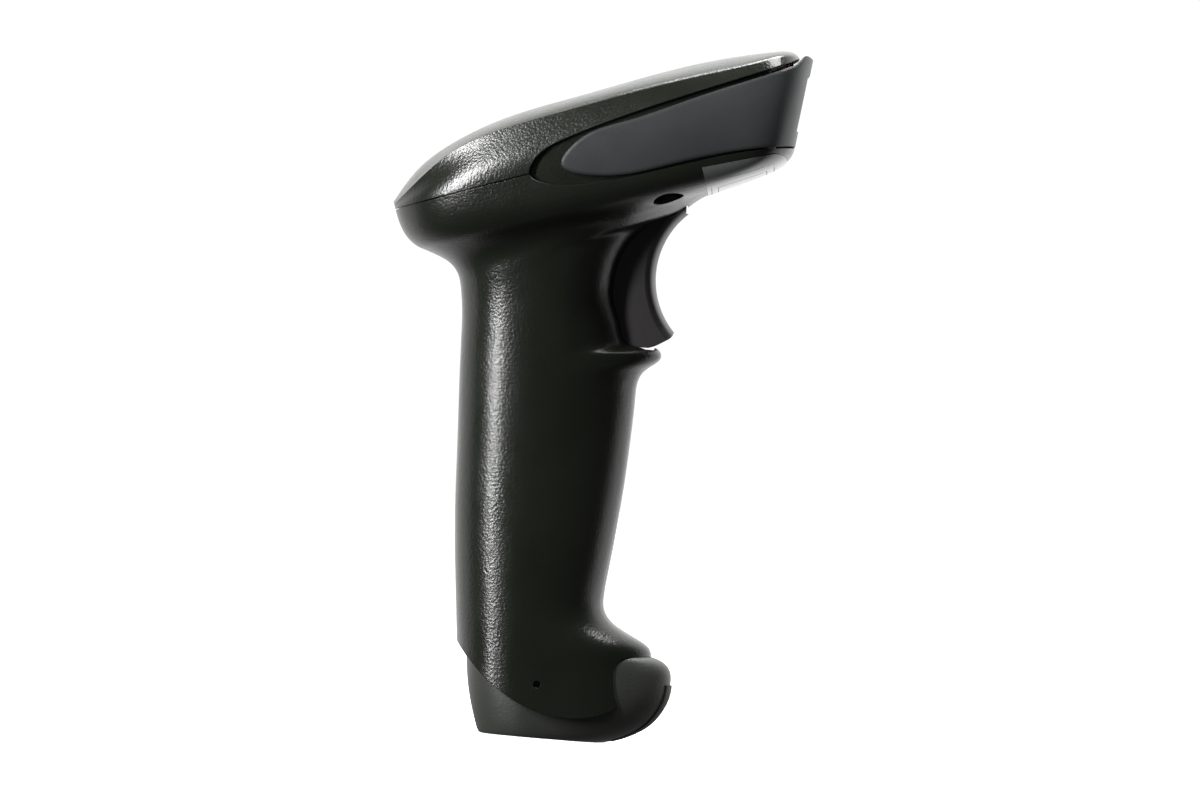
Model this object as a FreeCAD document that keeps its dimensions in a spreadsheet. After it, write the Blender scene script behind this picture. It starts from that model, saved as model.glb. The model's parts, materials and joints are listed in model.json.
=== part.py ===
import FreeCAD, Part
import Sketcher
import math
import os
import re
from FreeCAD import Placement, Rotation, Vector

# Handheld barcode scanner: a pistol grip standing on its base cap, with a long head pitched up over it.
# Frame: +X to the nose, +Y to the left of the user, +Z up, origin at the bottom centre of the whole part.
# Head parts are drawn in the head frame: its X runs along the parting line between the two head shells,
# from the rear tip towards the nose, and its Z is square to that line.

DIMENSIONS = {
    "head_pitch": 19.2,
    "head_back": 50.4,
    "head_rise": 128.2,
    "head_width": 71.0,
    "head_length": 105.1,
    "nose_rake": 26.0,
    "nose_round": 10.0,
    "side_bow": 60.0,
    "wall": 2.2,
    "seam_gap": 0.3,
    "seam_depth": 0.8,
    "window_width": 50.0,
    "window_height": 17.2,
    "window_thickness": 1.6,
    "seal_width": 2.4,
    "seal_thickness": 0.8,
    "board_thickness": 1.6,
    "board_deck": 2.4,
    "chassis_length": 17.0,
    "chassis_width": 44.0,
    "chassis_height": 16.8,
    "lens_bore": 8.0,
    "barrel_diameter": 11.4,
    "barrel_length": 14.2,
    "lens_thickness": 2.2,
    "chip_height": 1.3,
    "beeper_diameter": 12.0,
    "beeper_height": 6.5,
    "screw_shank": 2.5,
    "screw_head": 5.6,
    "small_screw_shank": 1.8,
    "small_screw_head": 3.8,
    "pin_diameter": 2.0,
    "pin_length": 26.0,
    "trigger_width": 15.6,
    "barrel_clearance": 0.1,
    "plunger_diameter": 3.0,
    "spring_diameter": 6.0,
    "spring_wire": 0.6,
    "spring_length": 14.0,
    "jack_length": 15.6,
    "jack_width": 13.2,
    "jack_height": 16.9,
    "plug_length": 11.6,
    "plug_width": 9.0,
    "plug_depth": 12.0,
    "contact_pitch": 1.02,
}

doc = FreeCAD.newDocument("handheld_barcode_scanner")
sheet = doc.addObject("Spreadsheet::Sheet", "Dimensions")
for row, (alias, value) in enumerate(DIMENSIONS.items(), start=1):
    sheet.set(f"A{row}", alias.replace("_", " "))
    sheet.set(f"B{row}", str(value))
    sheet.setAlias(f"B{row}", alias)
doc.recompute()


def size(alias):
    """The value of one driving dimension."""
    return sheet.get(alias)


HEAD = Placement(Vector(-size("head_back"), 0, size("head_rise")), Rotation(Vector(0, 1, 0), -size("head_pitch")))
HALF_WIDTH = size("head_width") / 2


def head_point(x, z):
    """A point of the head's middle plane, given in the head frame, as (x, z) of the object frame."""
    point = HEAD.multVec(Vector(x, 0, z))
    return point.x, point.z


def scoped(formula):
    """A formula over the sheet's aliases, as an expression of the document."""
    return re.sub(r"[a-z_]{3,}", lambda word: "Dimensions." + word.group(), str(formula))


def curve(points, parameters=None):
    """A smooth curve through the points."""
    spline = Part.BSplineCurve()
    if parameters:
        spline.interpolate(Points=points, Parameters=parameters)
    else:
        spline.interpolate(points)
    return spline


def graph(points):
    """The function whose graph is the smooth curve through the (x, y) points."""
    line = curve([Vector(x, y, 0) for x, y in points])

    def height(x):
        low, high = line.FirstParameter, line.LastParameter
        for _ in range(40):
            middle = (low + high) / 2
            if line.value(middle).x < x:
                low = middle
            else:
                high = middle
        return line.value(low).y

    return height


# Half width of the head, seen from above, from the rounded rear tip to the broad nose.
plan = graph([(0, 0), (0.8, 6.5), (3.5, 12.3), (9, 17.8), (18, 22.4), (32, 26.6), (50, 30.2), (70, 33.2),
              (90, 35.0), (112, 35.6)])
PLAN_STEPS = (0.8, 3.5, 9, 18, 32, 50, 68, 83)
NOSE_STEPS = (1.0, 0.97, 0.9, 0.78, 0.6, 0.35)
NOSE_SQUARENESS = 5


def head_outline(nose_x, inset=0.0, setback=0.0):
    """Half of the head's outline from above as (x, y) pairs, rear tip to nose centre."""
    straight_end = nose_x - size("nose_round")
    stations = [(x, 1.0) for x in PLAN_STEPS]
    for share in NOSE_STEPS:
        stations.append((straight_end + size("nose_round") * math.sqrt(1 - share ** NOSE_SQUARENESS), share))
    shape = [(x, plan(x) * share) for x, share in stations]
    shape = [(0.0, 0.0)] + shape + [(nose_x, 0.0)]
    if not inset and not setback:
        return shape
    depth = nose_x - inset - setback
    moved = []
    for x, y in shape:
        moved.append((inset + x * depth / nose_x, y * (HALF_WIDTH - inset) / HALF_WIDTH))
    return moved


def oval_outline(roundness, widest=0.5):
    """Half of a grip section: an oval of unit length and unit half width, with as many points as the head's."""
    steps = len(PLAN_STEPS) + len(NOSE_STEPS) + 1
    shape = []
    for index in range(steps + 1):
        angle = math.pi * index / steps
        along = 1 - math.cos(angle)
        share = along * widest if along < 1 else widest + (along - 1) * (1 - widest)
        shape.append((share, max(math.sin(angle), 0) ** (2 / roundness)))
    return shape


def spacing(shape, length):
    """Share of the outline's length at each point."""
    runs = [0.0]
    for (x0, y0), (x1, y1) in zip(shape, shape[1:]):
        runs.append(runs[-1] + math.hypot((x1 - x0) * length, (y1 - y0) * HALF_WIDTH))
    return [run / runs[-1] for run in runs]


HEAD_SHAPE = [(x / size("head_length"), y / HALF_WIDTH) for x, y in head_outline(size("head_length"))]
GRIP_ROUNDNESS = 2.3
HEAD_SPACING = spacing(HEAD_SHAPE, size("head_length"))
OVAL_SPACING = spacing(oval_outline(GRIP_ROUNDNESS), size("head_length"))
PARAMETERS = [(head + oval) / 2 for head, oval in zip(HEAD_SPACING, OVAL_SPACING)]


def mirrored_outline(half, to_space):
    """The two splines, right and left, of a smooth closed outline; to_space places (x, y) in space."""
    right = [to_space(x, -y) for x, y in half]
    left = [to_space(x, y) for x, y in reversed(half[1:-1])]
    ring = Part.BSplineCurve()
    ring.interpolate(Points=right + left, PeriodicFlag=True,
                     Parameters=PARAMETERS + [2 - share for share in reversed(PARAMETERS[:-1])])
    sides = []
    for start in (0, 1):
        side = ring.copy()
        side.segment(start, start + 1)
        sides.append(side)
    return sides


def skin_face(splines, runs):
    """The smooth face through a row of splines that share their knots; runs are its parameters across them."""
    columns = [curve(list(column), parameters=runs) for column in zip(*(spline.getPoles() for spline in splines))]
    surface = Part.BSplineSurface()
    surface.buildFromPolesMultsKnots(
        [column.getPoles() for column in columns],
        splines[0].getMultiplicities(), columns[0].getMultiplicities(),
        splines[0].getKnots(), columns[0].getKnots(),
        False, False, splines[0].Degree, columns[0].Degree)
    return surface.toShape()


def skin(sections):
    """The solid through a row of closed sections, each a list of splines."""
    poles = [[pole for spline in section for pole in spline.getPoles()] for section in sections]
    runs = [0.0]
    for here, there in zip(poles, poles[1:]):
        step = sum(pole.distanceToPoint(other) for pole, other in zip(here, there)) / len(here)
        runs.append(runs[-1] + step)
    faces = [skin_face(strip, runs) for strip in zip(*sections)]
    for section in (sections[0], sections[-1]):
        faces.append(Part.Face(Part.Wire([spline.toShape() for spline in section])))
    shell = Part.makeShell(faces)
    shell.sewShape()
    solid = Part.makeSolid(shell)
    if solid.Volume < 0:
        solid.reverse()
    return solid


def tilted_section(rear, front, half_width, oval):
    """One outline of the housing in the plane through its rear and front points; oval blends head to grip."""
    start = Vector(rear[0], 0, rear[1])
    along = Vector(front[0], 0, front[1]) - start
    widest = 0.5 + ((GRIP_MIDDLE - rear[0]) / (front[0] - rear[0]) - 0.5) * oval
    half = []
    for (head_x, head_y), (oval_x, oval_y) in zip(HEAD_SHAPE, oval_outline(GRIP_ROUNDNESS, widest)):
        half.append((head_x + (oval_x - head_x) * oval, head_y + (oval_y - head_y) * oval))
    return mirrored_outline(half, lambda x, y: start + along * x + Vector(0, y * half_width, 0))


GRIP_MIDDLE = -9.0

# The housing from the parting line down: rear point, front point, half width and share of oval.
# The first rows are in the head frame, down the rear of the head and along the underside of the nose.
HEAD_ROWS = [
    ((0.0, 0.0), (105.1, 0.0), 35.5, 0.0),
    ((0.05, -2.2), (103.4, -3.5), 35.4, 0.0),
    ((0.35, -4.6), (101.7, -7.0), 35.0, 0.03),
    ((1.1, -7.2), (100.0, -10.4), 34.0, 0.08),
    ((2.5, -9.5), (97.3, -12.6), 31.8, 0.16),
    ((4.4, -11.2), (91.5, -14.0), 28.6, 0.28),
    ((6.6, -12.9), (84.5, -14.8), 25.2, 0.42),
    ((8.8, -14.8), (77.5, -15.4), 22.3, 0.58),
    ((10.3, -16.7), (73.2, -16.5), 20.2, 0.74),
    ((11.1, -18.8), (69.4, -17.9), 18.9, 0.88),
]
back = graph([(0, -24.2), (22.5, -25.8), (42.4, -28.0), (54.8, -29.1), (69.8, -29.9), (97.3, -31.3),
              (104.8, -31.7), (113, -33.1)])
section_drop = graph([(0, 0), (24, 3), (44, 1.5), (60, 1), (76, 6), (99, 10), (118, 16), (133, 20)])
grip_half_width = graph([(0, 17.9), (24, 17.6), (50, 17.0), (90, 16.9), (110, 17.0), (133, 18.3)])
SCOOP_CENTRE = (26.6, 114.9)
SCOOP_RADIUS = 19.6
SCOOP_ANGLES = (121, 139, 157, 175, 193, 211, 229)
GUARD_AND_GRIP = [(17.0, 99.6), (18.9, 97.9), (18.4, 96.3), (15.6, 94.0), (13.8, 91.2), (13.4, 87.0),
                  (13.2, 78.0), (12.6, 66.0), (11.8, 56.0), (10.6, 44.0), (9.9, 36.8), (10.5, 32.7),
                  (13.2, 29.7), (18.3, 27.0), (22.2, 24.6), (22.9, 20.5), (22.9, 14.0), (22.9, 6.0)]


def finger_scoop():
    """The concave seat of the trigger finger, from the nose down to the guard."""
    points = []
    for angle in SCOOP_ANGLES:
        turn = math.radians(angle)
        points.append((SCOOP_CENTRE[0] + SCOOP_RADIUS * math.cos(turn),
                       SCOOP_CENTRE[1] + SCOOP_RADIUS * math.sin(turn)))
    return points


def housing_form():
    """The outside of the housing as one solid."""
    rows = []
    for rear, front, half_width, oval in HEAD_ROWS:
        rows.append((head_point(*rear), head_point(*front), half_width, oval))
    for x, z in finger_scoop() + GUARD_AND_GRIP:
        low = z - section_drop(z)
        rows.append(((back(low), low), (x, z), grip_half_width(z), 1.0))
    return skin([tilted_section(*row) for row in rows])


def side_bow(z):
    """How far the head's side walls lean in at a height above or below the parting line."""
    return size("side_bow") - math.sqrt(size("side_bow") ** 2 - z ** 2)


def nose_front(z):
    """Where the raked front line stands at a height in the head frame."""
    return size("head_length") + z * math.tan(math.radians(size("nose_rake")))


def head_block(inset, setback, levels=(-14, -7, 0, 7, 14), front=nose_front):
    """A solid of the head's outline through the given levels, its walls moved in and its front moved back."""
    sections = []
    for z in levels:
        half = head_outline(front(z), inset + side_bow(z), setback)
        sections.append(mirrored_outline(half, lambda x, y, z=z: Vector(x, y, z)))
    return skin(sections)


def side_prism(strokes, half_depth):
    """A prism across Y whose outline is a ring of strokes in the XZ plane: lines, or curves through 3 or more points."""
    edges = []
    for stroke in strokes:
        points = [Vector(x, -half_depth, z) for x, z in stroke]
        edges.append(curve(points).toShape() if len(points) > 2 else Part.makeLine(*points))
    return Part.Face(Part.Wire(edges)).extrude(Vector(0, 2 * half_depth, 0))


def bezier(poles):
    """A spline with the given poles and no inner knots."""
    arc = Part.BezierCurve()
    arc.setPoles(poles)
    return arc.toBSpline()


# The top cover's heights over the parting line: along its middle, and along the crease over its side walls.
roof = graph([(0, 2.2), (2, 3.9), (5.4, 6.9), (10, 9.7), (20, 13.3), (30, 15.3), (45, 16.2), (70, 16.9),
              (90, 16.4), (102, 14.9), (105.3, 14.0), (106.5, 13.0), (107, 11.9)])
crease = graph([(0, 1.5), (7.7, 5.8), (15.2, 9.6), (24.8, 12.0), (40, 13.0), (60, 13.3), (80, 13.2),
                (97, 12.8), (104, 12.5), (107, 11.4)])
crease_sharpness = graph([(0, 1), (20, 1), (45, 0.6), (70, 0.2), (90, 0), (108, 0)])
wall_lean = graph([(0, 0.17), (30, 0.15), (60, 0.11), (90, 0.08), (108, 0.08)])
COVER_FRONT = 107.0
ARCH_STATIONS = (0.02, 0.8, 3.5, 9, 18, 32, 50, 68, 83, 97, 100, 103, 105, 106, 106.6, 106.95)
CAVITY_STATIONS = (7, 9, 18, 32, 50, 68, 83, 97)
SHARP_WALL, SOFT_WALL = Vector(0, -0.3, 1), Vector(0, -0.65, 1)
SHARP_ROOF, SOFT_ROOF = Vector(0, -1, 0.25), Vector(0, -1, 1.4)


def nose_share(x):
    """How much of the head's full half width is left at a place on the rounded nose of the top cover."""
    into_nose = max(x - COVER_FRONT + size("nose_round"), 0) / size("nose_round")
    return (1 - into_nose ** 2) ** (1 / NOSE_SQUARENESS)


def arch(x, inset, base):
    """One cross section of the top cover: both side walls, the roof between them and a straight base line."""
    half_width = max(plan(x) * nose_share(x) - inset, 0.8)
    sharp = crease_sharpness(x)
    edge = Vector(x, half_width * (1 - wall_lean(x)), crease(x) - inset * 0.6)
    foot = Vector(x, half_width, base)
    wall_run = (SHARP_WALL * sharp + SOFT_WALL * (1 - sharp)).normalize()
    roof_run = (SHARP_ROOF * sharp + SOFT_ROOF * (1 - sharp)).normalize()
    rise = foot.distanceToPoint(edge) * 0.4
    shoulder = edge + roof_run * (edge.y * (0.3 * sharp + 0.1 * (1 - sharp)))
    crown = (16 * (roof(x) - inset) - 2 * edge.z - 8 * shoulder.z) / 6

    def mirror(point):
        return Vector(point.x, -point.y, point.z)

    wall = [foot, foot + Vector(0, 0, rise), edge - wall_run * rise, edge]
    over = [edge, shoulder, Vector(x, 0, crown), mirror(shoulder), mirror(edge)]
    return [bezier(wall), bezier(over), bezier([mirror(point) for point in reversed(wall)]),
            bezier([mirror(foot), foot])]


def cover_form():
    """The outside of the top cover as one solid, in the head frame."""
    return skin([arch(x, 0.0, 0.0) for x in ARCH_STATIONS])


# Outlines of the pocket and of the bumper in it, seen from the side in the head frame.
POCKET = [
    [(130, -9.8), (99.9, -9.8)],
    [(99.9, -9.8), (89.4, -7.9), (66.4, -6.9), (46.1, -5.5), (39.0, -3.6), (34.6, 0.0), (38.2, 4.3), (43.9, 6.2),
     (54.6, 7.7), (80.9, 9.7), (104.4, 11.0)],
    [(104.4, 11.0), (107.0, 11.5)],
    [(107.0, 11.5), (107.0, 11.9)],
    [(107.0, 11.9), (130, 11.9)],
    [(130, 11.9), (130, -9.8)],
]
BUMPER = [
    [(130, -9.4), (100.6, -9.4)],
    [(100.6, -9.4), (98.6, -9.0), (88.0, -7.25), (66.5, -6.2), (49.2, -3.9), (42.9, 0.4), (48.0, 5.1), (60.0, 6.9),
     (80.5, 8.4), (104.1, 9.9)],
    [(104.1, 9.9), (105.6, 10.25), (107.2, 11.2), (108.3, 11.6), (109.4, 11.05), (110.3, 10.1)],
    [(110.3, 10.1), (130, 10.1)],
    [(130, 10.1), (130, -9.4)],
]
LOWER_EDGE = [
    [(-30, 29), (-25.9, 22.6), (-16.7, 13.0), (1.5, 5.7), (15, 9), (22.2, 18.6), (23.4, 23.0), (26, 30)],
    [(26, 30), (40, 30)],
    [(40, 30), (40, -5)],
    [(40, -5), (-40, -5)],
    [(-40, -5), (-40, 29)],
    [(-40, 29), (-30, 29)],
]
NOSE = Placement(Vector(size("head_length") + 0.2, 0, 0.4), Rotation(Vector(0, 1, 0), size("nose_rake")))
POCKET_DEPTH = 2.2
RING_DEPTH = 5.1


def placed(shape, placement):
    """A copy of the shape moved by the placement."""
    copy = shape.copy()
    copy.Placement = placement.multiply(copy.Placement)
    return copy


def block(x, y, z):
    """A box between pairs of coordinates."""
    return Part.makeBox(x[1] - x[0], y[1] - y[0], z[1] - z[0], Vector(x[0], y[0], z[0]))


def pocket_space():
    """What the two head shells lose to the bumper: the side pockets and the ring around the nose."""
    return side_prism(POCKET, 50).cut(head_block(POCKET_DEPTH, RING_DEPTH))


def nose_window_space():
    """The light's way out through both head shells, with a flat seat for the seal and window."""
    way = placed(block((-16, 2), (-22, 22), (-6.4, 6.4)), NOSE)
    seat = placed(block((-7.0, 2), (-25.3, 25.3), (-8.8, 8.8)), NOSE)
    return way.fuse(seat)


def cap_rows(grow):
    """Levels of the base cap: height, rear, front and half width, moved out by grow."""
    rows = [(0.0, -17.6, 10.5, 12.2), (0.45, -18.6, 14.2, 13.1), (1.7, -19.2, 17.9, 13.8), (4.9, -20.3, 23.3, 14.5),
            (8.7, -21.4, 26.4, 14.9), (12.9, -22.3, 28.1, 15.1), (16.4, -22.8, 28.4, 15.15),
            (19.4, -23.1, 27.9, 15.15), (21.4, -23.25, 26.0, 15.15), (22.6, -23.3, 22.0, 15.1)]
    return [(z, rear - grow, front + grow, half_width + grow) for z, rear, front, half_width in rows]


def oval_section(z, rear, front, half_width, middle=-6.0):
    """A level oval section with its widest point at the given x."""
    half = oval_outline(GRIP_ROUNDNESS, (middle - rear) / (front - rear))
    return mirrored_outline(half, lambda x, y: Vector(rear + x * (front - rear), y * half_width, z))


def cap_form(grow=0.0):
    """The outside of the base cap up to the top of its toe."""
    return skin([oval_section(*row) for row in cap_rows(grow)])


def grip_cavity():
    """The hollow inside the grip, open to the head above and to the base cap below."""
    front = graph([(4, 20.5), (20, 20.4), (24.5, 18.0), (28, 13), (32, 9.2), (37, 7.6), (44, 8.2), (56, 9.4),
                   (66, 10.2), (78, 10.9), (90, 11.2), (97, 11.2), (103, 8), (108, 5.2), (114, 4.3), (120, 5.6),
                   (127, 10), (134, 15.5), (142, 18)])
    rows = []
    for z in (4, 14, 20, 24.5, 28, 32, 37, 44, 56, 66, 78, 90, 97, 103, 108, 114, 120, 127, 134, 141):
        half_width = grip_half_width(z) - size("wall") - 0.02 * max(z - 120, 0)
        rows.append(oval_section(z, back(min(z, 112)) + size("wall"), front(z), half_width, GRIP_MIDDLE))
    return skin(rows)


SCREW_X, SCREW_Y = 66.6, 24.5
PIVOT = Vector(17.5, 0, 135.5)
SLOT_HALF_WIDTH = 8.2
SLOT = [[(-6, 98.9), (16.9, 98.9)], [(16.9, 98.9), (20, 106)], [(20, 106), (34, 110)], [(34, 110), (34, 129)],
        [(34, 129), (22.4, 133)], [(22.4, 133), (22.4, 139.6)], [(22.4, 139.6), (-6, 139.6)],
        [(-6, 139.6), (-6, 98.9)]]
FLOOR = -8.8
BOARD_POSTS = ((20.0, 12.0), (57.0, 20.5))
CHASSIS_POSTS = ((79.0, 24.8),)
SWITCH_HEIGHT = 124.0
SPRING_HEIGHT = 108.0
SPRING_SEAT = -6.0
BOARD_SIDE = 6.8
LABEL = [[(76.5, -8.9), (76.5, -22)], [(76.5, -22), (97.5, -22)], [(97.5, -22), (97.5, -13.2)],
         [(97.5, -13.2), (97.1, -11.4), (95.8, -10.4), (93.8, -9.97)], [(93.8, -9.97), (76.5, -8.9)]]


def both_sides(shape):
    """The shape and its mirror image across the middle plane, as one."""
    return shape.fuse(shape.mirror(Vector(0, 0, 0), Vector(0, 1, 0)))


def main_housing():
    """Grip and underside of the head, in one moulding."""
    form = housing_form()
    shell = form.cut(placed(pocket_space(), HEAD))
    shell = shell.cut(placed(head_block(5.2, RING_DEPTH + size("wall"), (FLOOR, -4, 1)), HEAD))
    shell = shell.cut(grip_cavity())
    for x, y in BOARD_POSTS:
        post = Part.makeCylinder(2.4, -FLOOR - size("board_deck") + 0.4, Vector(x, y, FLOOR - 0.4))
        shell = shell.fuse(placed(both_sides(post), HEAD))
    boss = both_sides(Part.makeCylinder(5.0, 9, Vector(SCREW_X, SCREW_Y, -10.6)))
    shell = shell.fuse(placed(boss, HEAD))
    spring_rib = block((SPRING_SEAT - 2.5, SPRING_SEAT - 0.35), (-20, BOARD_SIDE - 0.2), (103.5, 112.5))
    shell = shell.fuse(spring_rib.common(form))
    for z in (40, 84):
        rail = block((-12, -5), (BOARD_SIDE + size("board_thickness"), 20), (z, z + 3))
        shell = shell.fuse(rail.common(form))
    shell = shell.cut(placed(nose_window_space(), HEAD))
    well = both_sides(Part.makeCylinder(3.9, 20, Vector(SCREW_X, SCREW_Y, -24))
                      .fuse(Part.makeCylinder(1.6, 30, Vector(SCREW_X, SCREW_Y, -24))))
    shell = shell.cut(placed(well, HEAD))
    pilot = size("small_screw_shank") / 2
    for x, y in BOARD_POSTS:
        shell = shell.cut(placed(both_sides(Part.makeCylinder(pilot, 5, Vector(x, y, -6.4))), HEAD))
    for x, y in CHASSIS_POSTS:
        shell = shell.cut(placed(both_sides(Part.makeCylinder(pilot, 1.4, Vector(x, y, FLOOR - 1.2))), HEAD))
    shell = shell.cut(side_prism(SLOT, SLOT_HALF_WIDTH))
    pin_hole = Part.makeCylinder(size("pin_diameter") / 2, size("pin_length"),
                                 Vector(PIVOT.x, -size("pin_length") / 2, PIVOT.z), Vector(0, 1, 0))
    shell = shell.cut(pin_hole)
    shell = shell.cut(side_prism(LOWER_EDGE, 30))
    shell = shell.cut(cap_form(0.15))
    return shell.cut(Part.makeCylinder(0.9, 12, Vector(-4.9, -24, 13.5), Vector(0, 1, 0)))


def indicator_oval(gap):
    """An upright oval prism through the roof for the indicator lens, smaller by gap all round."""
    ends = [Part.makeCylinder(2.4 - gap, 14, Vector(x, 0, 9)) for x in (31, 41)]
    return ends[0].fuse(ends[1]).fuse(block((31, 41), (-2.4 + gap, 2.4 - gap), (9, 23))).removeSplitter()


def top_cover():
    """The roof of the head, down to the parting line, in the head frame."""
    shell = cover_form().cut(pocket_space())
    shell = shell.cut(skin([arch(x, POCKET_DEPTH + size("wall"), -1.0) for x in CAVITY_STATIONS]))
    boss = both_sides(Part.makeCylinder(3.6, 13, Vector(SCREW_X, SCREW_Y, 0.2)))
    shell = shell.fuse(boss.common(cover_form()))
    shell = shell.cut(nose_window_space())
    shell = shell.cut(both_sides(Part.makeCylinder(size("screw_shank") / 2, 9, Vector(SCREW_X, SCREW_Y, -1))))
    shell = shell.cut(indicator_oval(0.0))
    seam = head_block(-2, -2, (-1, size("seam_gap"))).cut(head_block(size("seam_depth"), size("seam_depth"), (-2, 2)))
    return shell.cut(seam)


def nose_bumper():
    """The soft bumper: a ring round the window with a tail along each side, in the head frame."""
    ring = side_prism(BUMPER, 50).common(head_block(-0.3, 0))
    ring = ring.cut(head_block(POCKET_DEPTH - 0.1, RING_DEPTH - 0.1))
    ring = ring.cut(placed(block((-12, 4), (-23, 23), (-7.2, 7.2)), NOSE))
    return ring.cut(placed(block((-12, -4.2), (-25.6, 25.6), (-9.1, 9.1)), NOSE))


def indicator_lens():
    """The clear light pipe in the roof, flush with it, in the head frame."""
    return indicator_oval(0.05).common(cover_form())


def rating_label():
    """The blank label wrapped over the underside of the nose, 0.25 mm thick."""
    lowered = placed(housing_form(), Placement(HEAD.Rotation.multVec(Vector(0, 0, -0.25)), Rotation()))
    sheet_form = lowered.cut(placed(block((-20, 130), (-60, 60), (FLOOR + 1, 20)), HEAD))
    return sheet_form.common(placed(side_prism(LABEL, 60), HEAD)).cut(housing_form())


CAP_HOLLOW = [(2.0, -16.6, 14.0, 11.2), (4.9, -18.2, 20.0, 12.4), (8.7, -19.4, 23.4, 12.9),
              (12.9, -20.3, 25.4, 13.1), (16.4, -20.8, 25.8, 13.15), (19.4, -21.1, 24.5, 13.15),
              (24.0, -21.3, 17.0, 13.1)]


def base_cap():
    """The hollow foot of the grip, with the mouth of the cable socket in its floor."""
    shell = cap_form()
    shell = shell.cut(skin([oval_section(*row) for row in CAP_HOLLOW]))
    mouth = (size("plug_length") + 0.4, size("plug_width") + 0.4)
    hole = block((JACK.x - mouth[0] / 2, JACK.x + mouth[0] / 2), (-mouth[1] / 2, mouth[1] / 2), (-1, 4))
    return shell.cut(hole).cut(toe_band(1.1))


def toe_band(depth):
    """The strip round the lower front of the base cap's toe, from depth inside it to just outside."""
    band = cap_form(0.4).cut(cap_form(-depth))
    return band.common(side_prism([[(15, 0.35), (40, 0.35)], [(40, 0.35), (40, 15.8)], [(40, 15.8), (15, 15.8)],
                                   [(15, 15.8), (15, 0.35)]], 5.0))


TRIGGER_ARC_CENTRE = (36.6, 118.1)
TRIGGER_ARC_RADIUS = 20.75
TRIGGER_SIDE = [
    [(30, 132.6), (30, 105)], [(30, 105), (21.5, 103.6)],
    [(21.5, 103.6), (21.0, 102.5), (19.4, 101.3), (17.4, 100.1), (15.4, 99.35)],
    [(15.4, 99.35), (4.6, 99.25)], [(4.6, 99.25), (4.6, 126)], [(4.6, 126), (14.8, 137.6)],
    [(14.8, 137.6), (21.8, 137.2)], [(21.8, 137.2), (22.05, 133.6)], [(22.05, 133.6), (30, 132.6)],
]


def trigger_waist(clear):
    """A waisted drum whose side, turned about an axis across the grip, hollows the trigger's front."""
    rim = [(-12, 8.0), (-7.8, 2.8), (-7.0, 1.5), (-5, 0.6), (0, 0), (5, 0.6), (7.0, 1.5), (7.8, 2.8), (12, 8.0)]
    profile = curve([Vector(TRIGGER_ARC_RADIUS + clear + drop, y, 0) for y, drop in rim]).toShape()
    close = Part.makePolygon([Vector(TRIGGER_ARC_RADIUS + clear + rim[-1][1], 12, 0), Vector(0, 12, 0),
                              Vector(0, -12, 0), Vector(TRIGGER_ARC_RADIUS + clear + rim[0][1], -12, 0)])
    drum = Part.Face(Part.Wire([profile] + close.Edges)).revolve(Vector(0, 0, 0), Vector(0, 1, 0), 360)
    return placed(drum, Placement(Vector(TRIGGER_ARC_CENTRE[0], 0, TRIGGER_ARC_CENTRE[1]), Rotation()))


def trigger():
    """The trigger: a crowned, hollowed finger face on side cheeks, with its hinge barrel at the top."""
    half = size("trigger_width") / 2
    body = side_prism(TRIGGER_SIDE, half)
    hollow = block((4, 30), (-half + 2, half - 2), (102.2, 131)).cut(trigger_waist(2.2))
    body = body.cut(hollow)
    plunger_rib = block((PLUNGER_TIP, 30), (2.4, 5.2), (SWITCH_HEIGHT - 1.5, SWITCH_HEIGHT + 1.5))
    spring_post = Part.makeCylinder(size("spring_diameter") / 2 + 0.3, 16,
                                    Vector(SPRING_SEAT + size("spring_length"), 0, SPRING_HEIGHT), Vector(1, 0, 0))
    body = body.fuse(plunger_rib).fuse(spring_post).cut(trigger_waist(0))
    barrel = Part.makeCylinder(3.2, 2 * half, Vector(PIVOT.x, -half, PIVOT.z), Vector(0, 1, 0))
    bore = Part.makeCylinder(size("pin_diameter") / 2 + size("barrel_clearance") / 2, 30,
                             Vector(PIVOT.x, -15, PIVOT.z), Vector(0, 1, 0))
    return body.fuse(barrel).cut(bore)


def trigger_spring():
    """The return spring: a coil along X between its rib and the trigger, drawn along its own Z."""
    turns = 6
    wire = size("spring_wire") / 2
    length = size("spring_length") - 2 * wire
    coil = Part.Wire(Part.makeLongHelix(length / turns, length, size("spring_diameter") / 2 - wire, 0).Edges)
    start = coil.Edges[0].FirstParameter
    section = Part.makeCircle(wire, coil.Edges[0].valueAt(start), coil.Edges[0].tangentAt(start))
    return coil.makePipeShell([Part.Wire(section)], True, True).translated(Vector(0, 0, wire))


def ribbon_cable():
    """The flat cable from the sensor board down to the main board's connector, in the head frame."""
    top = [(72.4, 3.2), (69.5, 3.1), (64.0, 1.2), (60.0, 1.0)]
    bottom = [(x, z - 0.3) for x, z in reversed(top)]
    return side_prism([top, [top[-1], bottom[0]], bottom, [bottom[-1], top[0]]], 6)


def handle_link():
    """The flat link from the grip's board up to the underside of the main board."""
    foot = 125.0
    rear, front = head_point(41, -size("board_deck")), head_point(49, -size("board_deck"))
    ring = [(rear[0], foot), (front[0], foot), front, rear, (rear[0], foot)]
    strip = side_prism([[start, end] for start, end in zip(ring, ring[1:])], 0.15)
    return strip.translated(Vector(0, BOARD_SIDE - 0.15, 0))


JACK = Vector(-4.9, 0, 2.1)
PLUNGER_TIP = 7.4
SIDEWAYS = Rotation(Vector(1, 0, 0), -90)
FORWARD = Rotation(Vector(0, 1, 0), 90)


def at(x, y, z, turn=Rotation()):
    """A placement at a point."""
    return Placement(Vector(x, y, z), turn)


def feature(name, shape, placement=Placement()):
    """A sub-part whose shape is drawn above, set in its place."""
    item = doc.addObject("Part::Feature", name)
    item.Shape = shape
    item.Placement = placement
    return item


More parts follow.
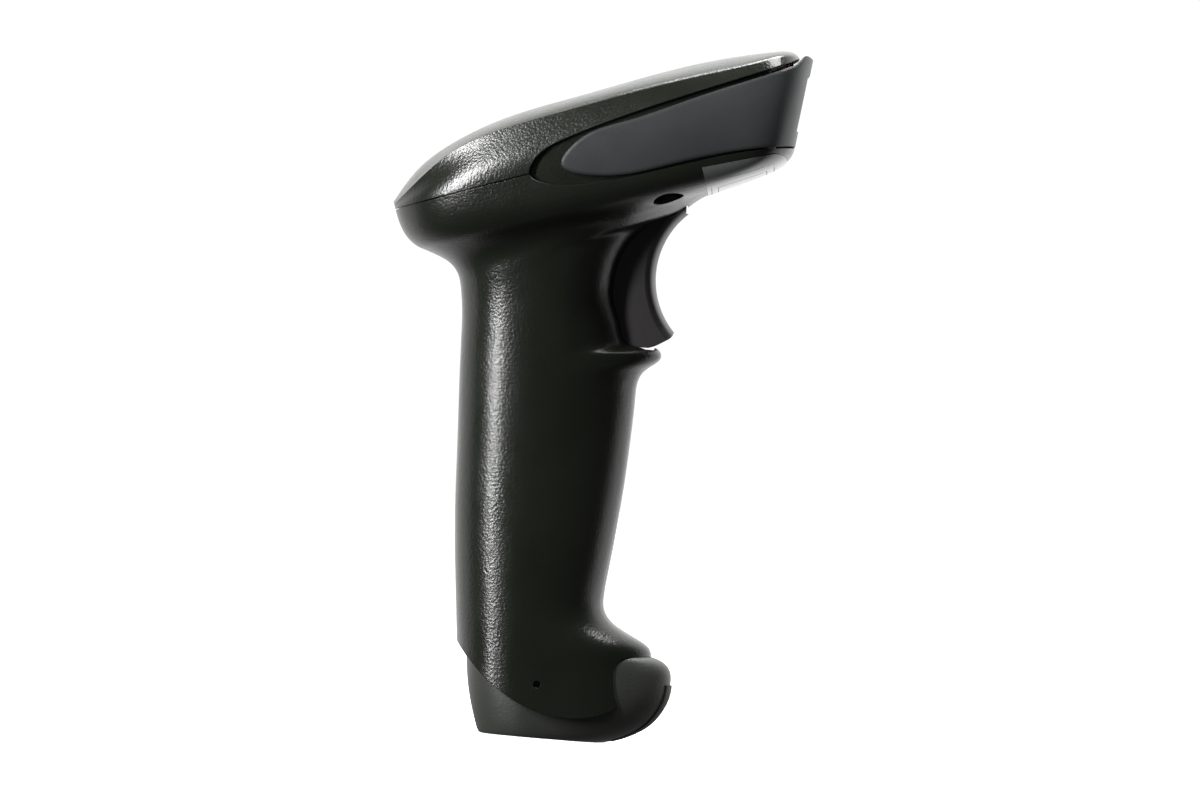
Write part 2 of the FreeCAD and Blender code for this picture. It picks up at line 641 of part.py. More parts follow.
def primitive(kind, name, placement=Placement(), **sizes):
    """A Part primitive whose sizes are formulas over the sheet, or plain numbers."""
    item = doc.addObject("Part::" + kind, name)
    for field, formula in sizes.items():
        item.setExpression(field, scoped(formula))
    item.Placement = placement
    return item


def box(name, x, y, z, length, width, height):
    """A box from its rear face x, its middle y and its bottom z; all may be formulas."""
    item = primitive("Box", name, Length=length, Width=width, Height=height)
    item.setExpression("Placement.Base.x", scoped(x))
    item.setExpression("Placement.Base.y", scoped(f"{y} - ({width}) / 2"))
    item.setExpression("Placement.Base.z", scoped(z))
    return item


def rod(name, diameter, length, placement):
    """A cylinder along the Z of its placement."""
    return primitive("Cylinder", name, placement, Radius=f"({diameter}) / 2", Height=length)


def joined(kind, name, items, placement=Placement()):
    """A boolean of several objects: MultiFuse, MultiCommon, or Cut of the rest from the first."""
    item = doc.addObject("Part::" + kind, name)
    if kind == "Cut":
        item.Base = items[0]
        item.Tool = items[1] if len(items) == 2 else joined("MultiFuse", name + "_tools", items[1:])
    else:
        item.Shapes = items
    item.Placement = placement
    return item


def group(name, items, placement=Placement()):
    """Identical pieces that share one sub-part, kept as separate solids."""
    item = doc.addObject("Part::Compound", name)
    item.Links = items
    item.Placement = placement
    return item


def add_rectangle(sketch, length, width):
    """A rectangle about the sketch's origin, its two sizes bound to formulas."""
    corners = [Vector(-1, -1, 0), Vector(1, -1, 0), Vector(1, 1, 0), Vector(-1, 1, 0)]
    first = sketch.addGeometry(Part.LineSegment(corners[0], corners[1]), False)
    for index in (1, 2, 3):
        sketch.addGeometry(Part.LineSegment(corners[index], corners[(index + 1) % 4]), False)
    for index in range(4):
        sketch.addConstraint(Sketcher.Constraint("Coincident", first + index, 2, first + (index + 1) % 4, 1))
        sketch.addConstraint(Sketcher.Constraint(("Horizontal", "Vertical")[index % 2], first + index))
    sketch.addConstraint(Sketcher.Constraint("Symmetric", first, 1, first + 1, 2, -1, 1))
    across = sketch.addConstraint(Sketcher.Constraint("DistanceX", first, 1, first, 2, 2.0))
    sketch.setExpression(f"Constraints[{across}]", scoped(length))
    up = sketch.addConstraint(Sketcher.Constraint("DistanceY", first + 1, 1, first + 1, 2, 2.0))
    sketch.setExpression(f"Constraints[{up}]", scoped(width))


def add_hole(sketch, x, y, diameter):
    """A round hole at a point of the sketch."""
    circle = sketch.addGeometry(Part.Circle(Vector(x, y, 0), Vector(0, 0, 1), 1.0), False)
    bound = sketch.addConstraint(Sketcher.Constraint("Diameter", circle, 2.0))
    sketch.setExpression(f"Constraints[{bound}]", scoped(diameter))
    sketch.addConstraint(Sketcher.Constraint("DistanceX", -1, 1, circle, 3, x))
    sketch.addConstraint(Sketcher.Constraint("DistanceY", -1, 1, circle, 3, y))


def add_polygon(sketch, points):
    """A closed run of straight lines through fixed points."""
    corners = [Vector(x, y, 0) for x, y in points]
    count = len(corners)
    for index in range(count):
        sketch.addGeometry(Part.LineSegment(corners[index], corners[(index + 1) % count]), False)
    for index in range(count):
        sketch.addConstraint(Sketcher.Constraint("Coincident", index, 2, (index + 1) % count, 1))
        sketch.addConstraint(Sketcher.Constraint("Block", index))


def plate(name, outline, thickness, placement, holes=(), window=None):
    """A flat piece padded from one sketch: outline is (length, width) or a list of corner points."""
    body = doc.addObject("PartDesign::Body", name)
    sketch = body.newObject("Sketcher::SketchObject", name + "_outline")
    plane = next(item for item in body.Origin.OriginFeatures if item.Role == "XY_Plane")
    sketch.AttachmentSupport = (plane, [""])
    sketch.MapMode = "FlatFace"
    if isinstance(outline, tuple):
        add_rectangle(sketch, *outline)
    else:
        add_polygon(sketch, outline)
    if window:
        add_rectangle(sketch, *window)
    for x, y, diameter in holes:
        add_hole(sketch, x, y, diameter)
    pad = body.newObject("PartDesign::Pad", name + "_pad")
    pad.Profile = sketch
    pad.setExpression("Length", scoped(thickness))
    body.Placement = placement
    return body


def in_nose(x):
    """The placement of a plate square to the window's axis, its rear face at x in the nose's frame."""
    return HEAD.multiply(NOSE).multiply(at(x, 0, 0, FORWARD))


def in_head(x, z=0.0):
    """The placement of a plate square to the head's length, its rear face at x."""
    return HEAD.multiply(at(x, 0, z, FORWARD))


def screw(name, x, y, top, head, rise, shank, length, upward=False):
    """A screw down (or up) from the face at top, with its head standing on that face."""
    turn = Rotation(Vector(1, 0, 0), 180) if upward else Rotation()
    head_at = Placement(Vector(x, y, top), turn)
    shank_at = Placement(Vector(x, y, top), turn.multiply(Rotation(Vector(1, 0, 0), 180)))
    return joined("MultiFuse", name, [rod(name + "_head", head, rise, head_at),
                                      rod(name + "_shank", shank, length, shank_at)])


def window_pieces():
    """The clear window across the nose and the soft seal it is pressed against."""
    seal = plate("window_seal", ("window_height", "window_width"), "seal_thickness", in_nose(-7.0),
                 window=("window_height - 2 * seal_width", "window_width - 2 * seal_width"))
    window = plate("scan_window", ("window_height", "window_width"), "window_thickness", in_nose(-6.2))
    return [seal, window]


def optics_pieces():
    """The imager: chassis, lens in its barrel, sensor and its board, lamps, their board and diffusers."""
    rear = 74.0
    front = rear + size("chassis_length")
    cradle = box("chassis_block", rear, 0, FLOOR, "chassis_length", "chassis_width", "chassis_height")
    feet = box("chassis_feet", rear + 2, 0, FLOOR, 9.5, "chassis_width + 10", 2.2)
    lens_way = rod("lens_way", "barrel_diameter", 40, at(rear - 5, 0, 0, FORWARD))
    sensor_well = box("sensor_well", rear - 1, 0, -6, 4, 12, 12)
    lamp_ways = [box(f"lamp_way_{side}", rear + 3, side * 14, -4, 30, 9, 8) for side in (-1, 1)]
    foot_holes = [rod(f"foot_hole_{index}", "small_screw_shank", 6, at(x, side * y, FLOOR - 1))
                  for index, (x, y, side) in enumerate((*post, side) for post in CHASSIS_POSTS for side in (-1, 1))]
    chassis = joined("Cut", "optics_chassis",
                     [joined("MultiFuse", "chassis_solid", [cradle, feet]), lens_way, sensor_well,
                      *lamp_ways, *foot_holes], HEAD)
    barrel = joined("Cut", "lens_barrel",
                    [rod("barrel_solid", "barrel_diameter", "barrel_length", at(79, 0, 0, FORWARD)),
                     rod("barrel_bore", "lens_bore", 30, at(70, 0, 0, FORWARD))], HEAD)
    lens = rod("imaging_lens", "lens_bore", "lens_thickness", HEAD.multiply(at(90, 0, 0, FORWARD)))
    sensor_board = plate("sensor_board", (15, 36), "board_thickness", in_head(rear - size("board_thickness")))
    sensor = group("image_sensor", [box("sensor_chip", rear, 0, -4, "chip_height", 9, 8)], HEAD)
    lamp_board = plate("lamp_board", (14, 42), 1.2, in_head(front), holes=[(0, 0, "barrel_diameter + 0.6")])
    lamps = [box(f"lamp_{index}", front + 1.2, y, -1.6, 1.0, 3.2, 3.2) for index, y in enumerate((-17, -11, 11, 17))]
    diffusers = [box(f"diffuser_{side}", front + 2.2, side * 14, -4, 1.6, 10, 8) for side in (-1, 1)]
    screws = [screw(f"chassis_screw_{side}", x, side * y, FLOOR + 2.2, "small_screw_head", 1.3,
                    "small_screw_shank", 3.4) for x, y in CHASSIS_POSTS for side in (-1, 1)]
    return [chassis, barrel, lens, sensor_board, sensor, lamp_board, group("illumination_lamps", lamps, HEAD),
            group("lamp_diffusers", diffusers, HEAD), group("chassis_screws", screws, HEAD)]


def board_pieces():
    """The main board in the head and what is soldered to it."""
    outline = [(14, -14), (24, -16.5), (40, -23), (61, -23), (61, 23), (40, 23), (24, 16.5), (14, 14)]
    holes = [(x, side * y, "small_screw_shank") for x, y in BOARD_POSTS for side in (-1, 1)]
    board = plate("main_board", outline, "board_thickness", HEAD.multiply(at(0, 0, -size("board_deck"))), holes)
    deck = size("board_thickness") - size("board_deck")
    chips = [box(f"chip_{index}", x, y, deck, length, width, "chip_height")
             for index, (x, y, length, width) in enumerate(((40, -9, 12, 12), (41, 9, 8, 8), (30, 9, 5, 6)))]
    beeper = joined("Cut", "beeper", [rod("beeper_can", "beeper_diameter", "beeper_height", at(22, 0, deck)),
                                      rod("beeper_mouth", 2, 4, at(22, 0, deck + 4))], HEAD)
    socket = group("cable_connector", [box("connector_block", 55, 0, deck, 5, 16, 2.4)], HEAD)
    lamp = group("indicator_lamp", [box("indicator_chip", 34.5, 0, deck, 3, 2, 1.1)], HEAD)
    screws = [screw(f"board_screw_{index}", x, side * y, deck, "small_screw_head", 1.3, "small_screw_shank", 5.2)
              for index, (x, y, side) in enumerate((*post, side) for post in BOARD_POSTS for side in (-1, 1))]
    return [board, group("main_board_chips", chips, HEAD), beeper, socket, lamp,
            group("board_screws", screws, HEAD), feature("sensor_cable", ribbon_cable(), HEAD)]


def trigger_pieces():
    """The trigger on its pin, its return spring and the switch it presses."""
    pin = rod("trigger_pin", "pin_diameter", "pin_length",
              at(PIVOT.x, -size("pin_length") / 2, PIVOT.z, SIDEWAYS))
    reach = at(0, 3.8, SWITCH_HEIGHT, FORWARD)
    body = box("switch_body", -3, 3.8, SWITCH_HEIGHT - 3.1, 5.4, 6, 6.2)
    switch = joined("Cut", "trigger_switch", [body, rod("switch_bore", "plunger_diameter + 0.2", 8, reach)])
    plunger = rod("switch_plunger", "plunger_diameter", 5.6, at(PLUNGER_TIP - 5.9, 3.8, SWITCH_HEIGHT, FORWARD))
    spring = feature("trigger_spring", trigger_spring(), at(SPRING_SEAT, 0, SPRING_HEIGHT, FORWARD))
    return [feature("trigger", trigger()), pin, switch, plunger, spring]


def grip_pieces():
    """The board in the grip with the cable socket at its foot."""
    low, high = 3.5, 128.0
    board = plate("handle_board", (14, high - low), "board_thickness",
                  at(-7, BOARD_SIDE, (low + high) / 2, SIDEWAYS))
    body = box("jack_body", JACK.x - size("jack_length") / 2, 0.2, JACK.z, "jack_length", "jack_width", "jack_height")
    plug_way = box("plug_way", JACK.x - size("plug_length") / 2, 0, JACK.z - 1, "plug_length", "plug_width",
                   "plug_depth + 1")
    latch_way = box("latch_way", JACK.x - 2, -5.2, JACK.z - 1, 4, 1.8, "plug_depth - 1")
    jack = joined("Cut", "modular_jack", [body, plug_way, latch_way])
    contacts = []
    for index in range(8):
        x = f"{JACK.x} + ({index} - 3.5) * contact_pitch - 0.25"
        contacts.append(box(f"contact_{index}", x, size("plug_width") / 2 - 0.2, JACK.z + 2.5, 0.5, 0.4, 8))
    return [board, jack, group("jack_contacts", contacts), feature("handle_link", handle_link())]


def shell_pieces():
    """What the hand and the counter touch: shells, bumper, cap, pad, label, lens and the shell screws."""
    screws = [screw(f"nose_screw_{side}", SCREW_X, side * SCREW_Y, -4, "screw_head", 2.0, "screw_shank", 11,
                    upward=True) for side in (-1, 1)]
    return [feature("main_housing", main_housing()), feature("top_cover", top_cover(), HEAD),
            feature("nose_bumper", nose_bumper(), HEAD), feature("base_cap", base_cap()),
            feature("toe_pad", toe_band(1.0)), feature("rating_label", rating_label()),
            feature("indicator_lens", indicator_lens(), HEAD), group("nose_screws", screws, HEAD)]


subparts = (shell_pieces() + window_pieces() + optics_pieces() + board_pieces() + trigger_pieces()
            + grip_pieces())
doc.recompute()
for item in subparts:
    item.Label = item.Name
for item in doc.Objects:
    if "Invalid" in item.State or "Error" in item.State:
        raise RuntimeError(f"{item.Name} failed: {item.State}")
os.makedirs("parts", exist_ok=True)
for item in subparts:
    shape = item.Shape
    if shape.isNull() or not shape.isValid() or shape.Volume <= 0:
        raise RuntimeError(f"{item.Label} has no valid solid")
    shape.exportStep(f"parts/{item.Label}.step")
    print(f"{item.Label}: {len(shape.Solids)} solids, {shape.Volume:.0f} mm3")
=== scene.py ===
"""Looks of the handheld barcode scanner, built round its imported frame. Metres, +X to the nose, +Z up."""
import json
import math

import bmesh
import bpy
from mathutils import Matrix, Vector
from mathutils.bvhtree import BVHTree


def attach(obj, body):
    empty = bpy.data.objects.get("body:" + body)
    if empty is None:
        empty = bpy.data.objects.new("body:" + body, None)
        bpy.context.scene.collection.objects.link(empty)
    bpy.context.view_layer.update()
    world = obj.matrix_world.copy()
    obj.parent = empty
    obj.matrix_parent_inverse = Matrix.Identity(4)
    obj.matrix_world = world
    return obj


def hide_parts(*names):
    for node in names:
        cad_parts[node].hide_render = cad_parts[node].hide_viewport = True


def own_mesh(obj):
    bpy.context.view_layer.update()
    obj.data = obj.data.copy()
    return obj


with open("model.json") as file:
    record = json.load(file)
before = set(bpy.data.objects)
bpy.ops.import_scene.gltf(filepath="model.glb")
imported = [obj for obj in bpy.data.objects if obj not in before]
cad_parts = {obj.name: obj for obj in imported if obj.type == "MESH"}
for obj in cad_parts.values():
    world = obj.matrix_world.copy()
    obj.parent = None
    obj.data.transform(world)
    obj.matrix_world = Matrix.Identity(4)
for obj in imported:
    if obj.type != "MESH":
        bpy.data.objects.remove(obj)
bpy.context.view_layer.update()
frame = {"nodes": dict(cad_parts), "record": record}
scene = bpy.context.scene
MM = 0.001
HEAD_ORIGIN = Vector((-50.4, 0, 128.2)) * MM
HEAD_PITCH = math.radians(19.2)


HEAD_TURN = Matrix.Rotation(-HEAD_PITCH, 3, "Y")


def head_point(x, y, z):
    """A point of the head's own frame, given in millimetres, in the object's frame in metres."""
    return HEAD_ORIGIN + HEAD_TURN @ (Vector((x, y, z)) * MM)


# ---------------------------------------------------------------- materials

class Shader:
    """A material with a Principled shader and helpers for the nodes that feed it."""

    def __init__(self, name, **constants):
        self.material = bpy.data.materials.new(name)
        self.material.use_nodes = True
        self.tree = self.material.node_tree
        self.bsdf = self.tree.nodes["Principled BSDF"]
        for socket, value in constants.items():
            self.bsdf.inputs[socket.replace("_", " ")].default_value = value
        self.place = self.tree.nodes.new("ShaderNodeTexCoord").outputs["Object"]

    def node(self, kind, **fields):
        node = self.tree.nodes.new(kind)
        for field, value in fields.items():
            setattr(node, field, value)
        return node

    def link(self, start, end):
        self.tree.links.new(start, end)

    def noise(self, size, detail=3.0, roughness=0.55, stretch=None):
        """Noise whose features are about size metres across, longer along an axis if stretch says so."""
        noise = self.node("ShaderNodeTexNoise")
        noise.inputs["Scale"].default_value = 1 / size
        noise.inputs["Detail"].default_value = detail
        noise.inputs["Roughness"].default_value = roughness
        place = self.place
        if stretch:
            mapping = self.node("ShaderNodeMapping")
            mapping.inputs["Scale"].default_value = stretch
            self.link(place, mapping.inputs["Vector"])
            place = mapping.outputs["Vector"]
        self.link(place, noise.inputs["Vector"])
        return noise.outputs["Fac"]

    def cells(self, size, smooth=0.6):
        """Rounded cells about size metres across."""
        cells = self.node("ShaderNodeTexVoronoi", feature="SMOOTH_F1")
        cells.inputs["Scale"].default_value = 1 / size
        cells.inputs["Smoothness"].default_value = smooth
        self.link(self.place, cells.inputs["Vector"])
        return cells.outputs["Distance"]

    def spread(self, source, low, high, start=0.3, end=0.7):
        """The source's start to end spread over low to high."""
        spread = self.node("ShaderNodeMapRange")
        for socket, value in zip(("From Min", "From Max", "To Min", "To Max"), (start, end, low, high)):
            spread.inputs[socket].default_value = value
        self.link(source, spread.inputs["Value"])
        return spread.outputs["Result"]

    def tints(self, source, colours, stops=(0.35, 0.65)):
        """A colour that runs through the colours as the source rises."""
        ramp = self.node("ShaderNodeValToRGB")
        for element, colour, stop in zip(ramp.color_ramp.elements, colours, stops):
            element.color = (*colour, 1)
            element.position = stop
        self.link(source, ramp.inputs["Fac"])
        return ramp.outputs["Color"]

    def add(self, one, other):
        total = self.node("ShaderNodeMath", operation="ADD")
        self.link(one, total.inputs[0])
        self.link(other, total.inputs[1])
        return total.outputs[0]

    def colour(self, source):
        self.link(source, self.bsdf.inputs["Base Color"])

    def roughness(self, source):
        self.link(source, self.bsdf.inputs["Roughness"])

    def bump(self, *layers, edge=0.0):
        """Stacks (height, depth in metres) layers of bump, over edges rounded by edge metres."""
        normal = None
        if edge:
            bevel = self.node("ShaderNodeBevel", samples=6)
            bevel.inputs["Radius"].default_value = edge
            normal = bevel.outputs["Normal"]
        for height, depth in layers:
            bump = self.node("ShaderNodeBump")
            bump.inputs["Strength"].default_value = 1.0
            bump.inputs["Distance"].default_value = depth
            self.link(height, bump.inputs["Height"])
            if normal:
                self.link(normal, bump.inputs["Normal"])
            normal = bump.outputs["Normal"]
        self.link(normal, self.bsdf.inputs["Normal"])


def moulded(name, dark, light, low, high, grain, depth, edge=0.00025, **constants):
    """Moulded plastic or rubber: spark-eroded grain, slow unevenness of tint and gloss, rounded edges."""
    shader = Shader(name, **constants)
    slow = shader.noise(0.03, 4.0, 0.6)
    fine = shader.noise(grain, 4.0, 0.65)
    shader.colour(shader.tints(shader.add(slow, shader.spread(fine, -0.08, 0.08)), (dark, light)))
    shader.roughness(shader.spread(shader.noise(0.012, 5.0, 0.6), low, high))
    shader.bump((shader.cells(grain * 1.3), depth), (fine, depth * 0.9), (slow, 0.00006), edge=edge)
    return shader.material


shell = moulded("shell_plastic", (0.0078, 0.0094, 0.0062), (0.0108, 0.0126, 0.0090), 0.20, 0.27,
                0.00050, 0.000038)
cap = moulded("cap_plastic", (0.034, 0.0365, 0.031), (0.044, 0.0470, 0.041), 0.38, 0.46, 0.0005, 0.00003)
bumper = moulded("bumper_rubber", (0.022, 0.0248, 0.0260), (0.029, 0.0322, 0.0338), 0.38, 0.46,
                 0.00035, 0.000020, edge=0.0014)
toe = moulded("toe_rubber", (0.012, 0.0125, 0.012), (0.017, 0.0175, 0.017), 0.5, 0.6, 0.0004, 0.00002)
trigger = moulded("trigger_plastic", (0.035, 0.0325, 0.0345), (0.045, 0.0420, 0.0445), 0.33, 0.41,
                  0.00038, 0.00002, edge=0.0003)
label = moulded("label_film", (0.105, 0.109, 0.109), (0.130, 0.134, 0.134), 0.16, 0.24, 0.0011, 0.000006,
                edge=0, Coat_Weight=0.5, Coat_Roughness=0.1)
gasket = moulded("gasket_foam", (0.008, 0.008, 0.008), (0.014, 0.014, 0.014), 0.8, 0.95, 0.0003, 0.00006,
                 edge=0)
inner = moulded("inner_plastic", (0.010, 0.010, 0.010), (0.016, 0.016, 0.016), 0.5, 0.65, 0.0005, 0.00002)
chip = moulded("chip_package", (0.012, 0.012, 0.013), (0.019, 0.019, 0.020), 0.45, 0.6, 0.00012, 0.00001)
socket = moulded("socket_nylon", (0.010, 0.010, 0.010), (0.014, 0.014, 0.014), 0.2, 0.32, 0.0008, 0.00001)
plunger = moulded("plunger_plastic", (0.50, 0.50, 0.47), (0.58, 0.58, 0.55), 0.3, 0.42, 0.0006, 0.00001)
lamp = moulded("lamp_package", (0.68, 0.60, 0.28), (0.85, 0.80, 0.55), 0.25, 0.4, 0.0006, 0.00001, edge=0)


def clear(name, tint, low, high, ior):
    """Clear moulded plastic or glass with the faint unevenness of a polished surface."""
    shader = Shader(name, Transmission_Weight=1.0, IOR=ior, Specular_IOR_Level=0.5)
    shader.colour(shader.tints(shader.noise(0.01), (tint, [min(part * 1.15, 1) for part in tint])))
    shader.roughness(shader.spread(shader.noise(0.004, 5.0), low, high))
    shader.bump((shader.noise(0.006), 0.000004))
    return shader.material


window = clear("window_glass", (0.16, 0.018, 0.024), 0.0, 0.03, 1.49)
light_pipe = clear("light_pipe", (0.80, 0.82, 0.82), 0.12, 0.25, 1.49)
optic = clear("coated_lens", (0.75, 0.70, 0.85), 0.0, 0.02, 1.6)


def metal(name, dark, light, low, high, grain=0.0004, stretch=(1, 1, 8)):
    """Plated or turned metal with fine scratches along one axis."""
    shader = Shader(name, Metallic=1.0)
    scratches = shader.noise(grain, 6.0, 0.7, stretch)
    shader.colour(shader.tints(scratches, (dark, light)))
    shader.roughness(shader.spread(scratches, low, high))
    shader.bump((scratches, 0.000006))
    return shader.material


steel = metal("plated_steel", (0.42, 0.42, 0.41), (0.60, 0.60, 0.59), 0.22, 0.38)
gold = metal("gold_contact", (0.72, 0.48, 0.18), (0.88, 0.65, 0.30), 0.15, 0.28)
barrel = metal("anodised_barrel", (0.012, 0.012, 0.013), (0.022, 0.022, 0.024), 0.3, 0.45, 0.0003, (8, 1, 1))


def circuit_board():
    """Green solder mask over glass cloth, with the faint relief of traces."""
    shader = Shader("circuit_board", Coat_Weight=0.4, Coat_Roughness=0.12)
    traces = shader.node("ShaderNodeTexBrick", offset=0.37)
    traces.inputs["Scale"].default_value = 210
    traces.inputs["Mortar Size"].default_value = 0.03
    traces.inputs["Color1"].default_value = (0.010, 0.075, 0.026, 1)
    traces.inputs["Color2"].default_value = (0.012, 0.095, 0.034, 1)
    traces.inputs["Mortar"].default_value = (0.030, 0.170, 0.060, 1)
    shader.link(shader.place, traces.inputs["Vector"])
    shader.colour(traces.outputs["Color"])
    shader.roughness(shader.spread(shader.noise(0.002), 0.25, 0.4))
    shader.bump((traces.outputs["Fac"], 0.00002), (shader.noise(0.0005), 0.000008))
    return shader.material


def ribbon_film():
    """Amber film over copper runs."""
    shader = Shader("ribbon_film", Coat_Weight=0.3, Coat_Roughness=0.1)
    wave = shader.node("ShaderNodeTexWave", bands_direction="Y")
    wave.inputs["Scale"].default_value = 320
    shader.link(shader.place, wave.inputs["Vector"])
    shader.colour(shader.tints(wave.outputs["Fac"], ((0.32, 0.13, 0.02), (0.55, 0.27, 0.06))))
    shader.roughness(shader.spread(shader.noise(0.001), 0.2, 0.35))
    shader.bump((wave.outputs["Fac"], 0.00001))
    return shader.material


board = circuit_board()
ribbon = ribbon_film()
print_light = moulded("print_light", (0.30, 0.31, 0.31), (0.40, 0.41, 0.41), 0.3, 0.4, 0.0006, 0.000004,
                      edge=0)
print_dark = moulded("print_dark", (0.010, 0.010, 0.010), (0.016, 0.016, 0.016), 0.3, 0.4, 0.0006, 0.000004,
                     edge=0)

FINISHES = {"shell": shell, "cap": cap, "bumper": bumper, "toe": toe, "label": label, "light_pipe": light_pipe,
            "steel": steel, "seal": gasket, "window": window, "inner_black": inner, "barrel": barrel,
            "optic": optic, "board": board, "chip": chip, "lamp": lamp, "socket": socket, "ribbon": ribbon,
            "trigger": trigger, "plunger": plunger, "contact": gold}
for entry in frame["record"]["subparts"]:
    node = frame["nodes"][entry["node"]]
    for slot in node.material_slots:
        slot.material = FINISHES[entry["material_slot"]]


# ---------------------------------------------------------------- label lines and the spring

def surface(node):
    """A CAD node's surface, for casting points onto."""
    bm = bmesh.new()
    bm.from_mesh(frame["nodes"][node].data)
    tree = BVHTree.FromBMesh(bm)
    bm.free()
    return tree


def strip(name, hits, width, rise, material):
    """A thin closed line over (point, normal) hits on a surface, standing rise above it and as far below."""
    count = len(hits)
    sections = []
    for index, (point, normal) in enumerate(hits):
        ahead = hits[(index + 1) % count][0]
        behind = hits[index - 1][0]
        side = (ahead - behind).cross(normal).normalized() * (width / 2)
        sections.append([point + side - normal * rise, point + side + normal * rise,
                         point - side + normal * rise, point - side - normal * rise])
    bm = bmesh.new()
    rings = [[bm.verts.new(corner) for corner in section] for section in sections]
    for ring, following in zip(rings, rings[1:] + rings[:1]):
        for corner in range(4):
            far = (corner + 1) % 4
            bm.faces.new((ring[corner], ring[far], following[far], following[corner]))
    bmesh.ops.recalc_face_normals(bm, faces=bm.faces)
    mesh = bpy.data.meshes.new(name)
    bm.to_mesh(mesh)
    bm.free()
    piece = bpy.data.objects.new(name, mesh)
    scene.collection.objects.link(piece)
    mesh.materials.append(material)
    return piece


NOSE_CORE_Z = -3     # the height in the head's frame, in millimetres, that the rays under the nose aim at
CAST_FROM = 0.08     # how far outside the nose those rays start
RUN_STEPS = 12       # steps along each side of a frame under the nose
PRINT_RISE = 0.00002


def under_nose(tree, x, angle):
    """Where a ray from below, at an angle round the head's length, meets the label."""
    reach = HEAD_TURN @ Vector((0, math.sin(angle), -math.cos(angle)))
    point, normal, _, _ = tree.ray_cast(head_point(x, 0, NOSE_CORE_Z) + reach * CAST_FROM, -reach)
    return point, normal


def loop_under_nose(tree, rear, front, angle, steps=40):
    """A frame round the underside of the nose between two places along it and out to an angle each side."""
    across = [-angle + 2 * angle * step / steps for step in range(steps + 1)]
    along = [rear + (front - rear) * step / RUN_STEPS for step in range(1, RUN_STEPS)]
    path = [(rear, a) for a in across] + [(x, angle) for x in along]
    path += [(front, a) for a in reversed(across)] + [(x, -angle) for x in reversed(along)]
    return [hit for hit in (under_nose(tree, x, a) for x, a in path) if hit[0]]


label_surface = surface("rating_label")
for name, rear, front, angle, width, material in (
        ("label_border_line", 77.6, 94.0, math.radians(72), 0.00028, print_light),
        ("label_frame_line", 79.3, 92.0, math.radians(64), 0.00022, print_dark)):
    hits = loop_under_nose(label_surface, rear, front, angle)
    line = strip(name, hits, width, PRINT_RISE, material)
    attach(line, "housing")


def return_spring():
    """A copy of the trigger's spring, in place of the CAD node, attached to the housing with a mesh of its
    own.
    """
    spring = bpy.data.objects.new("return_spring", frame["nodes"]["trigger_spring"].data.copy())
    scene.collection.objects.link(spring)
    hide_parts("trigger_spring")
    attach(spring, "housing")
    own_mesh(spring)


return_spring()


# ---------------------------------------------------------------- camera, light and floor

def area_light(name, place, target, width, height, power):
    """A soft box at a place, facing a target."""
    data = bpy.data.lights.new(name, "AREA")
    data.shape = "RECTANGLE"
    data.size, data.size_y = width, height
    data.energy = power
    light = bpy.data.objects.new(name, data)
    light.location = place
    light.rotation_euler = (Vector(target) - Vector(place)).to_track_quat("-Z", "Y").to_euler()
    scene.collection.objects.link(light)


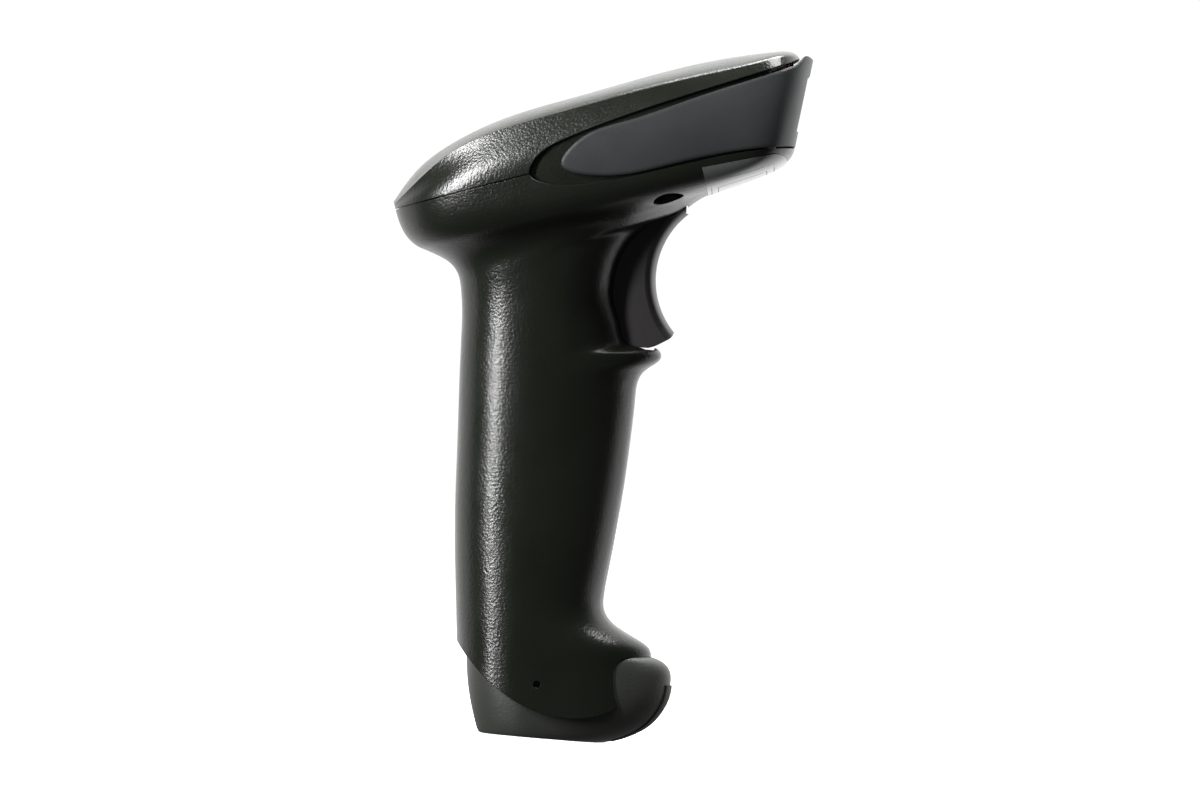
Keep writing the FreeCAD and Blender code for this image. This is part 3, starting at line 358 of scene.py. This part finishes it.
def world_light():
    """White surroundings to the eye; the object itself is lit mostly from behind."""
    world = bpy.data.worlds.new("studio")
    world.use_nodes = True
    scene.world = world
    tree = world.node_tree
    tree.nodes.clear()
    out = tree.nodes.new("ShaderNodeOutputWorld")
    seen = tree.nodes.new("ShaderNodeBackground")
    seen.inputs["Color"].default_value = (1, 1, 1, 1)
    seen.inputs["Strength"].default_value = 1.05
    cast = tree.nodes.new("ShaderNodeBackground")
    cast.inputs["Strength"].default_value = 1.0
    place = tree.nodes.new("ShaderNodeTexCoord")
    split = tree.nodes.new("ShaderNodeSeparateXYZ")
    ramp = tree.nodes.new("ShaderNodeValToRGB")
    for stop, position, level in zip(ramp.color_ramp.elements, (0.50, 0.75), (0.04, 1.3)):
        stop.position = position
        stop.color = (level, level, level, 1)
    half = tree.nodes.new("ShaderNodeMapRange")
    half.inputs["From Min"].default_value = -1
    mix = tree.nodes.new("ShaderNodeMixShader")
    path = tree.nodes.new("ShaderNodeLightPath")
    link = tree.links.new
    link(place.outputs["Generated"], split.inputs[0])
    link(split.outputs["Y"], half.inputs["Value"])
    link(half.outputs["Result"], ramp.inputs["Fac"])
    link(ramp.outputs["Color"], cast.inputs["Color"])
    link(path.outputs["Is Camera Ray"], mix.inputs["Fac"])
    link(cast.outputs[0], mix.inputs[1])
    link(seen.outputs[0], mix.inputs[2])
    link(mix.outputs[0], out.inputs["Surface"])


def pale_floor():
    """A wide pale floor. The object sees it bright behind and dim in front, as with a lit white table."""
    bpy.ops.mesh.primitive_plane_add(size=16, location=(0, 0, 0))
    floor = bpy.context.object
    floor.name = "floor"
    shader = Shader("floor_paper", Roughness=0.9, Emission_Color=(1, 1, 1, 1), Emission_Strength=0.82)
    shader.colour(shader.tints(shader.noise(0.2), ((0.80, 0.80, 0.80), (0.83, 0.83, 0.83))))
    split = shader.node("ShaderNodeSeparateXYZ")
    shader.link(shader.place, split.inputs[0])
    glow = shader.node("ShaderNodeEmission")
    shader.link(shader.spread(split.outputs["Y"], 0.06, 1.1, -0.02, 0.10), glow.inputs["Strength"])
    path = shader.node("ShaderNodeLightPath")
    mix = shader.node("ShaderNodeMixShader")
    shader.link(path.outputs["Is Camera Ray"], mix.inputs["Fac"])
    shader.link(glow.outputs[0], mix.inputs[1])
    shader.link(shader.bsdf.outputs[0], mix.inputs[2])
    shader.link(mix.outputs[0], shader.tree.nodes["Material Output"].inputs["Surface"])
    floor.data.materials.append(shader.material)


scene.view_settings.view_transform = "Standard"
world_light()
pale_floor()
area_light("tall_strip", (-0.68, -0.50, 0.29), (0, 0, 0.10), 0.075, 0.48, 10.0)
area_light("overhead", (0.12, 0.06, 0.80), (0, 0, 0.09), 0.9, 0.50, 22.0)

AIM = Vector((4.6, 0, 85.6)) * MM
ROLL = math.radians(5)
LENS = 450
SENSOR = 36
VIEW_WIDTH = 0.300
camera_data = bpy.data.cameras.new("camera")
camera_data.lens = LENS
camera_data.sensor_width = SENSOR
camera = bpy.data.objects.new("camera", camera_data)
right = Vector((math.cos(ROLL), 0, math.sin(ROLL)))
up = Vector((-math.sin(ROLL), 0, math.cos(ROLL)))
back = Vector((0, -1, 0))
camera.matrix_world = Matrix.Translation(AIM + back * VIEW_WIDTH * LENS / SENSOR) @ Matrix(
    (right, up, back)).transposed().to_4x4()
scene.collection.objects.link(camera)
scene.camera = camera
